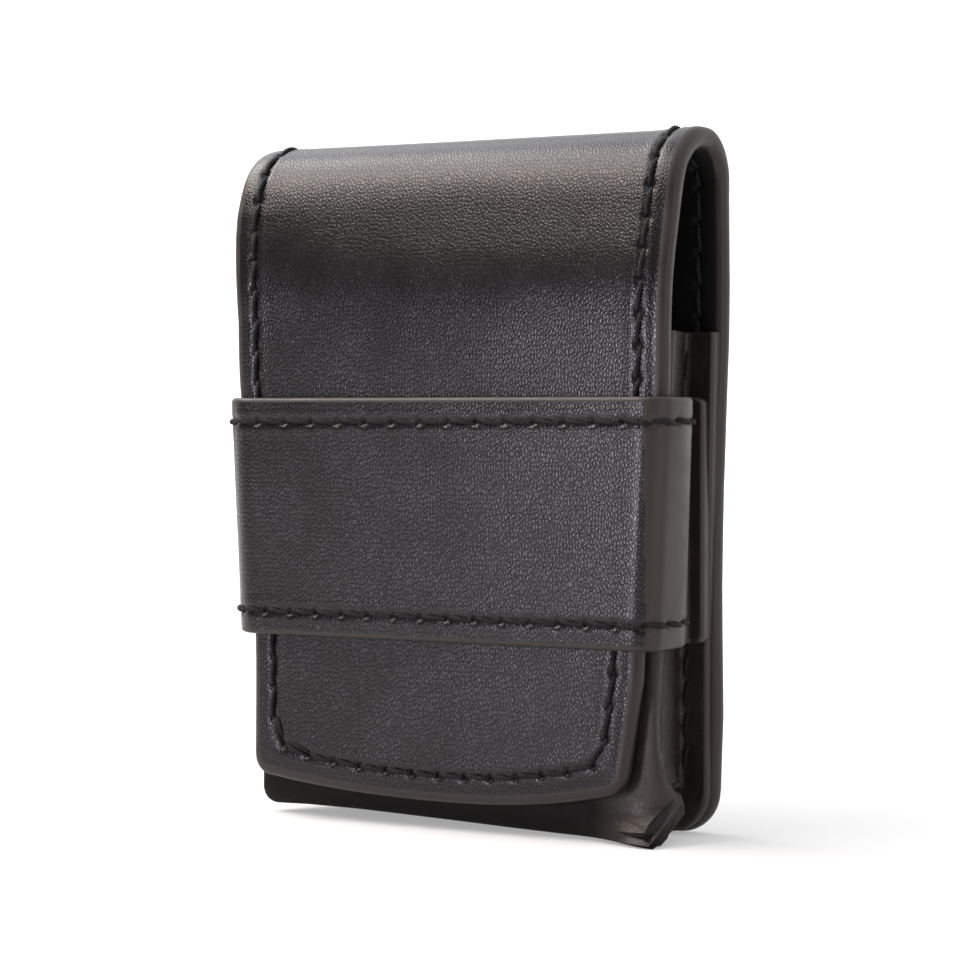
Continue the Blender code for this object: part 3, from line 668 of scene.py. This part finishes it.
for row, line in ((fold_row, edge_line), (hollow_row, hollow_line), (lip_row, lip_line)):
    was = outer[round(row * 4)]
    for c in range(half_cols):
        if c < wall_end:
            if row == fold_row and was[c, 2] < 20:
                z = np.interp(was[c, 2], [was[wall_end, 2], 9.6, 20], [4.18, 9.6, 20])
                shift[row][c] = (np.interp(z, *fold_x), np.interp(z, *fold_y), z) - was[c]
            else:
                away = (was[c, 2] - was[wall_end, 2]) / 6.0
                shift[row][c] = (line[0] - was[wall_end]) * falloff(away) * (row != fold_row)
        elif c <= arc_end:
            q = (c - wall_end) / (arc_end - wall_end)
            spot = [np.interp(q, [0, 0.5, 1], line[:, k]) for k in range(3)]
            shift[row][c] = spot - was[c]
        else:
            shift[row][c] = (line[2] - was[arc_end]) * falloff((was[arc_end, 0] - was[c, 0]) / 10.0)
for i, row in enumerate(at_row):
    if free_row < row < front_row:
        if row <= lip_row:
            outer[i] += shift[lip_row] * falloff((lip_row - row) / (lip_row - free_row))
        elif row <= hollow_row:
            share = (row - lip_row) / (hollow_row - lip_row)
            outer[i] += shift[lip_row] * (1 - share) + shift[hollow_row] * share
        elif row <= fold_row:
            share = (row - hollow_row) / (fold_row - hollow_row)
            outer[i] += shift[hollow_row] * (1 - share) + shift[fold_row] * share
        else:
            outer[i] += shift[fold_row] * (1 - (row - fold_row) / (front_row - fold_row)) ** 1.8


def grid_normals(p):
    """Unit normals of a grid of points."""
    du, dv = np.gradient(p, axis=0), np.gradient(p, axis=1)
    n = np.cross(dv, du)
    return n / np.maximum(np.linalg.norm(n, axis=-1, keepdims=True), 1e-9)


outer[..., 2] = np.maximum(outer[..., 2], lowest_z)
thick = np.interp(at_row, [0, 1.5, 3.5, 5], [1.75, 1.6, 1.0, 1.0])
inner = outer + grid_normals(outer) * thick[:, None, None]
inner[..., 2] = np.maximum(inner[..., 2], lowest_z + 0.1)
# Where the pocket's leather lies in wrinkles on the side walls, and where it turns under the foot; the finish
# wrinkles the first and paints shade over both.
slack_and_shade = np.interp(at_row, [3.5, 5.5, 11.2, 12.2], [0.2, 1.0, 1.0, 0.0])[:, None] * np.ones(cols)
under = np.clip((6.0 - outer[..., 2]) / 2.0, 0, 1) * np.clip((22.6 - outer[..., 0]) / 5.0, 0, 1)
pattern_x = np.broadcast_to(travelled(outer[rows // 2]), (rows, cols))
pattern_y = travelled(outer[:, 40])[:, None].repeat(cols, 1)
pattern = np.stack([pattern_x, pattern_y], -1).reshape(-1, 2) * mm


def moulded_leather(name):
    """Smooth thin leather, plain where it is stretched and finely wrinkled on the side walls, with painted
    shade: darker over the side walls and in the wrinkles' hollows, and near black with a weaker reflection
    under the foot."""
    finish = Finish(name)
    where = finish.node("TexCoord").outputs["Object"]
    where = finish.node("VectorMath", {0: where, "Scale": 1000.0}, operation="SCALE").outputs[0]
    slack_and_shade = finish.node("Attribute", attribute_name="slack_and_shade").outputs["Fac"]
    under = finish.node("Attribute", attribute_name="under").outputs["Fac"]
    slow = finish.noise(where, 0.35, 4.0, roughness=0.6)
    fine = finish.noise(where, 3.2, 5.0, roughness=0.62)
    swirl = finish.noise(where, 0.75, 3.0, distortion=1.6)
    wrinkle = finish.ramp(finish.sum("ABSOLUTE", finish.sum("SUBTRACT", swirl, 0.5)), 0.0, 0.09)
    stretched = finish.blend(finish.ramp(slow, 0.3, 0.7), (0.0120, 0.0096, 0.0092), (0.0180, 0.0146, 0.0140))
    # Painted shade: the side walls and the wrinkles' hollows are darker.
    loose_and_shaded = finish.blend(wrinkle, (0.004, 0.0032, 0.0030), (0.012, 0.0095, 0.0085))
    tone = finish.blend(slack_and_shade, stretched, loose_and_shaded)
    rough = finish.ramp(fine, 0.3, 0.7, 0.36, 0.50)
    height = finish.sum("MULTIPLY_ADD", fine, 0.030 * mm, finish.sum("MULTIPLY", slow, 0.10 * mm))
    folds = finish.sum("MULTIPLY", finish.sum("MULTIPLY", wrinkle, slack_and_shade), 0.085 * mm)
    # Painted shade under the foot: near black, with a weaker reflection.
    return finish.dress(
        finish.sum("ADD", height, folds),
        base_color=finish.blend(under, tone, (0.0022, 0.0019, 0.0019)),
        roughness=finish.sum("MULTIPLY_ADD", finish.sum("MAXIMUM", slack_and_shade, under), 0.16, rough),
        sheen=finish.sum("MULTIPLY_ADD", under, -0.28, 0.42),
        specular_tint=(1.0, 0.91, 0.87, 1.0),
    )


pocket_look = moulded_leather("moulded pocket leather")
pocket_edge = painted_edge("pocket edge paint", (0.0150, 0.0118, 0.0112), 0.42)
pocket_lining = matt_lining("pocket lining", (0.004, 0.0035, 0.0035))

points = np.concatenate([outer.reshape(-1, 3), inner.reshape(-1, 3)]) * mm + home
faces, slots = [], []
skin = rows * cols
for i in range(rows - 1):
    for j in range(cols - 1):
        q = i * cols + j
        faces.append((q, q + 1, q + cols + 1, q + cols))
        slots.append(0)
        faces.append((skin + q, skin + q + cols, skin + q + cols + 1, skin + q + 1))
        slots.append(2)
for j in range(cols - 1):
    faces.append((j, skin + j, skin + j + 1, j + 1))
    slots.append(1)
for i in range(rows - 1):
    for j, turn in ((0, 1), (cols - 1, -1)):
        q = i * cols + j
        faces.append((q, q + cols, skin + q + cols, skin + q)[::turn])
        slots.append(1)
# The two sides meet along the middle of the front.
last = (rows - 1) * cols
for j in range(half_cols):
    a, b, c, d = last + j, last + j + 1, last + cols - 2 - j, last + cols - 1 - j
    if j + 1 < half_cols:
        faces.append((a, b, c, d))
        faces.append((skin + a, skin + d, skin + c, skin + b))
        slots += [0, 2]
marks = {"hole": np.zeros(2 * skin), "slack_and_shade": np.tile(slack_and_shade.ravel(), 2), "under": np.tile(under.ravel(), 2)}
pocket_looks = [pocket_look, pocket_edge, pocket_lining]
pocket = piece("moulded_pocket", points, faces, pocket_looks, slots, np.tile(pattern, (2, 1)), marks)
mend(pocket, weld=1e-6)
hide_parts("pocket")
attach(pocket, "case")

# The band: two thin layers of leather glued and sewn along both edges, wrapped round the pocket and sewn
# into its flanges. Its edges are painted, and the tongue tucks in behind it.
band_low, band_high, band_face_y = 20.2, 46.2, -2.3


def band_side(share, half, corner):
    """One side of the band in plan, from the middle of the front round to the flange's border."""
    crease_x, crease_y = 24.75, 9.68
    line = [(part * half, band_face_y) for part in (0.25, 0.5, 0.72)]
    line.append((0.5 * (0.72 * half + half - corner), band_face_y))
    for a in np.radians(np.linspace(-90, -8, 9)):
        line.append((half - corner + corner * math.cos(a), band_face_y + corner + corner * math.sin(a)))
    side_y = crease_y - 0.35
    line.append((half + 0.05, max(3.0, band_face_y + corner + 0.8)))
    line += [(half - 0.12 - 0.25 * share, 5.0), (half - 0.7 - 0.5 * share, 6.6)]
    line.append((0.5 * (half - 0.8 - 0.5 * share + crease_x) + 0.1, 0.5 * (6.6 + side_y) + 0.1))
    for a in np.radians(np.linspace(205, 90, 6)):
        line.append((crease_x + 0.35 + 0.35 * math.cos(a), side_y + 0.35 * math.sin(a)))
    return line + [(26.45, crease_y)]


def band_plan(share):
    """The band's outer face in plan at a share of its height, from the left flange round to the right one."""
    left = band_side(share, 26.4 + 1.35 * share, 3.9)
    right = band_side(share, 26.9 + 1.3 * share, 2.7)
    return smooth_line(np.array([(-x, y) for x, y in left[::-1]] + [(0.0, band_face_y)] + right), per=10)


# Each level of the band: how far in from its edge, and how deep under the outer face.
painted_zone = 0.36
edge_levels = [(0.0, 0.61), (0.01, 0.45), (0.05, 0.30), (0.12, 0.18), (0.22, 0.09), (0.35, 0.03), (0.55, 0.0)]
band_zone = [0.85, 1.15, 1.45, 1.72, 1.95, 2.15, 2.32, 2.48, 2.62, 2.76, 2.92, 3.1, 3.32, 3.58, 3.9, 4.4, 5.0]
edge_levels += [(d, 0.0) for d in band_zone]
band_height = band_high - band_low
levels = edge_levels + [(d, 0.0) for d in np.linspace(5.8, band_height - 5.8, 16)]
levels += [(band_height - d, depth) for d, depth in edge_levels[::-1]]
plan_low, plan_high = band_plan(0.0), band_plan(1.0)
plan_middle = 0.5 * (plan_low + plan_high)
band_run = travelled(plan_middle)
band_ways = np.gradient(plan_middle, band_run, axis=0)
band_length = float(band_run[-1])
band_cols = round(band_length / 0.29)
band_at = np.linspace(0, band_length, band_cols)


def on_band(u, v, lift):
    """Points u round the band and v above its lower edge, lifted off its outer face; all in metres. The band
    is a little narrower at its two ends."""
    u, v, lift = np.broadcast_arrays(np.asarray(u) / mm, np.asarray(v) / mm, np.asarray(lift) / mm)
    share = v / band_height
    end = np.clip(1.0 - np.minimum(u, band_length - u) / 1.4, 0, 1)
    v = band_height * (0.5 + (share - 0.5) * (1 - 0.05 * (1 - np.sqrt(1 - 0.99 * end**2))))
    x0, y0 = (np.interp(u, band_run, plan_low[:, k]) for k in (0, 1))
    x1, y1 = (np.interp(u, band_run, plan_high[:, k]) for k in (0, 1))
    wx, wy = (np.interp(u, band_run, band_ways[:, k]) for k in (0, 1))
    size = np.hypot(wx, wy)
    x = x0 + share * (x1 - x0) + lift * wy / size
    y = y0 + share * (y1 - y0) - lift * wx / size
    return np.stack([x, y, band_low + v], -1) * mm + home


row_inset, row_end = 2.62, 3.8
row_reach = band_length - 2 * row_end
hole_count = round(row_reach * mm / stitch_pitch)
hole_u = row_end + row_reach * np.arange(hole_count + 1) / hole_count
row_heights = (row_inset, band_height - row_inset)
band_rows = [np.stack([hole_u, np.full(len(hole_u), v)], 1) * mm for v in row_heights]
flat = np.array([(u, v) for v, depth in levels for u in band_at]) * mm
depth = np.repeat([depth for v, depth in levels], band_cols) * mm
edge_off = np.minimum(flat[:, 1], band_height * mm - flat[:, 1])
hole_off = nearest(flat, np.vstack(band_rows))
sewn = np.interp(flat[:, 0] / mm, [2.5, 4.0, band_length - 4.0, band_length - 2.5], [0, 1, 1, 0])
relief = sewn_relief(edge_off - row_inset * mm, hole_off, 0.08, 0.40, 0.32) * sewn
relief += 0.018 * mm * waves(flat, 11 * mm, 5.0) * np.clip(edge_off / (2 * mm), 0, 1)
outer = on_band(flat[:, 0], flat[:, 1], relief - depth)
from_end = np.minimum(flat[:, 0], band_length * mm - flat[:, 0]) / mm
back_depth = np.interp(from_end, [0, 1.2, 1.9], [1.58, 1.5, 1.22]) * mm - depth
inner = on_band(flat[:, 0], flat[:, 1], -back_depth)
# The grain is worn smooth round the sides and on the flanges, and painted over there as the edges are.
worn = (np.abs(outer[:, 0] - home[0]) > 25.9 * mm) | (outer[:, 1] - home[1] > 5.0 * mm)
count = len(flat)
faces, slots = [], []
for i in range(len(levels) - 1):
    low, high = levels[i][0], levels[i + 1][0]
    painted = min(low, band_height - high) < painted_zone or max(low, high) > band_height - painted_zone
    for j in range(band_cols - 1):
        q = i * band_cols + j
        faces.append((q, q + 1, q + band_cols + 1, q + band_cols))
        faces.append((count + q, count + q + band_cols, count + q + band_cols + 1, count + q + 1))
        slots += [1 if painted or worn[q] else 0, 1 if painted else 2]
top = (len(levels) - 1) * band_cols
for j in range(band_cols - 1):
    faces.append((j, count + j, count + j + 1, j + 1))
    faces.append((top + j, top + j + 1, count + top + j + 1, count + top + j))
    slots += [1, 1]
for i in range(len(levels) - 1):
    q = i * band_cols
    faces.append((q, q + band_cols, count + q + band_cols, count + q))
    q += band_cols - 1
    faces.append((q, count + q, count + q + band_cols, q + band_cols))
    slots += [1, 1]
band_leather = pebbled("band leather", (0.0064, 0.0053, 0.0055), (0.0092, 0.0079, 0.0087))
band_paint = painted_edge("band edge paint", (0.0165, 0.0130, 0.0122), 0.40)
band_backing = matt_lining("band backing", (0.0030, 0.0026, 0.0026))
# Near the needle holes the finishes paint shade.
hole_shade_mark = np.concatenate([np.exp(-((hole_off / (0.34 * mm)) ** 2)), np.zeros(count)])
band_looks = [band_leather, band_paint, band_backing]
both_faces = np.vstack([outer, inner])
band = piece("leather_band", both_faces, faces, band_looks, slots, np.tile(flat, (2, 1)), {"hole": hole_shade_mark})
mend(band, weld=1e-7)
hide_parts("band_outer", "band_lining")
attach(band, "case")

# The band's sewing: one row of the same thread along each edge, through both layers, that ends short of the
# flanges. It holds the lining to the leather.
pairs = [pair for row in band_rows for pair in zip(row[:-1], row[1:])]
band_sewing = twisted_stitches("band_sewing", pairs, on_band, 0.36 * mm, 0.08, sunk=0.46)
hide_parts("band_thread_top", "band_thread_bottom")
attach(band_sewing, "case")

# The side seams: the thread that holds the pocket's flanges to the back panel, in a short row on each side
# above and below the band, whose own flanges cover the rest.
seam_x, seam_spans = 23.9, ((6.6, 19.6), (46.8, 51.8))


def on_flange(x, z, lift):
    """Points on the pocket's flange, lifted forwards off it."""
    return np.stack(np.broadcast_arrays(x, flange_y * mm - np.asarray(lift), z), -1) + home


seam_pairs = []
for side in (-1, 1):
    for low, high in seam_spans:
        count = max(1, round((high - low) * mm / stitch_pitch))
        z = np.linspace(low, high, count + 1)
        holes = np.stack([np.full(count + 1, side * seam_x), z], 1) * mm
        seam_pairs += list(zip(holes[:-1], holes[1:]))
seam_sewing = twisted_stitches("seam_sewing", seam_pairs, on_flange, 0.25 * mm, 0.14)
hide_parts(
    "seam_thread_left_low",
    "seam_thread_left_high",
    "seam_thread_right_low",
    "seam_thread_right_high",
)
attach(seam_sewing, "case")

# The studio: a pale sweep that runs up behind, and a soft white sky that is brighter above and behind. Panels
# high on the left draw the light on the crown, and low ones light the back, the front and the right side.
sweep_points, sweep_faces = [], []
sweep_half_width, bend = 2.5, 0.5
profile = [(-1.7, 0.0), (0.9, 0.0)]
for a in np.linspace(0.1, math.pi / 2, 14):
    profile.append((0.9 + bend * math.sin(a), bend - bend * math.cos(a)))
profile.append((1.4, 2.6))
for y, z in profile:
    sweep_points += [(-sweep_half_width, y, z), (sweep_half_width, y, z)]
for i in range(len(profile) - 1):
    sweep_faces.append((2 * i, 2 * i + 1, 2 * i + 3, 2 * i + 2))
studio = Finish("pale studio sweep")
studio.shader.inputs["Base Color"].default_value = (0.48, 0.48, 0.48, 1.0)
studio.shader.inputs["Roughness"].default_value = 0.9
# It glows white where it is seen, straight or mirrored, and less close to the case, where its shadow falls.
seen = studio.node("LightPath").outputs
where = studio.node("TexCoord").outputs["Object"]
far = studio.node("VectorMath", {0: where}, operation="LENGTH").outputs["Value"]
glow = studio.node("Emission", {"Color": (1, 1, 1, 1), "Strength": studio.ramp(far, 0.15, 0.9, 0.34, 1.0)})
plain = studio.node("AddShader", {0: studio.shader.outputs[0], 1: glow.outputs[0]})
looked_at = studio.sum("MAXIMUM", seen["Is Camera Ray"], seen["Is Glossy Ray"])
looked_at = studio.sum("MAXIMUM", looked_at, seen["Is Transmission Ray"])
mixed = studio.node("MixShader", {0: looked_at, 1: studio.shader.outputs[0], 2: plain.outputs[0]})
studio.put(studio.tree.nodes["Material Output"].inputs["Surface"], mixed.outputs[0])
sweep = piece("sweep", sweep_points, sweep_faces, [studio.material], np.zeros(len(sweep_faces)))


def lamp(name, spot, size, power, colour):
    """A soft panel of light turned to the middle of the case, and itself unseen."""
    light = bpy.data.lights.new(name, "AREA")
    light.shape = "RECTANGLE"
    light.size, light.size_y = size
    light.energy = power
    light.color = colour
    obj = bpy.data.objects.new(name, light)
    bpy.context.scene.collection.objects.link(obj)
    obj.location = spot
    obj.visible_camera = False
    obj.rotation_euler = (Vector((0, 0, 0.04)) - Vector(spot)).to_track_quat("-Z", "Y").to_euler()


lamp("key_panel", (-0.47, -0.267, 0.71), (1.00, 0.44), 9.0, (1.0, 0.95, 0.89))
lamp("brow_panel", (-0.575, -0.350, 0.60), (1.00, 0.07), 2.2, (1.0, 0.90, 0.78))
lamp("top_panel", (-0.48, 0.20, 0.70), (0.60, 0.50), 1.4, (0.92, 0.94, 1.0))
lamp("side_panel", (-0.80, 0.10, 0.12), (0.45, 0.50), 0.85, (1.0, 0.97, 0.95))
lamp("left_panel", (-0.105, -0.43, 0.04), (0.06, 0.17), 1.02, (0.93, 0.90, 1.0))
lamp("right_panel", (0.62, -0.10, 0.12), (0.35, 0.36), 0.88, (1.0, 0.94, 0.91))
world = bpy.data.worlds.new("studio sky")
bpy.context.scene.world = world
world.use_nodes = True
sky = Finish("studio sky", world.node_tree)
way = sky.node("SeparateXYZ", {0: sky.node("TexCoord").outputs["Generated"]})
slant = sky.sum("MULTIPLY_ADD", way.outputs["Y"], 0.35, way.outputs["Z"])
backdrop = sky.tree.nodes["Background"].inputs
sky.put(backdrop["Strength"], sky.ramp(slant, 0.25, 0.60, 0.06, 1.45))
sky.put(backdrop["Color"], (0.97, 0.97, 1.0, 1.0))
bpy.context.scene.view_settings.view_transform = "Standard"
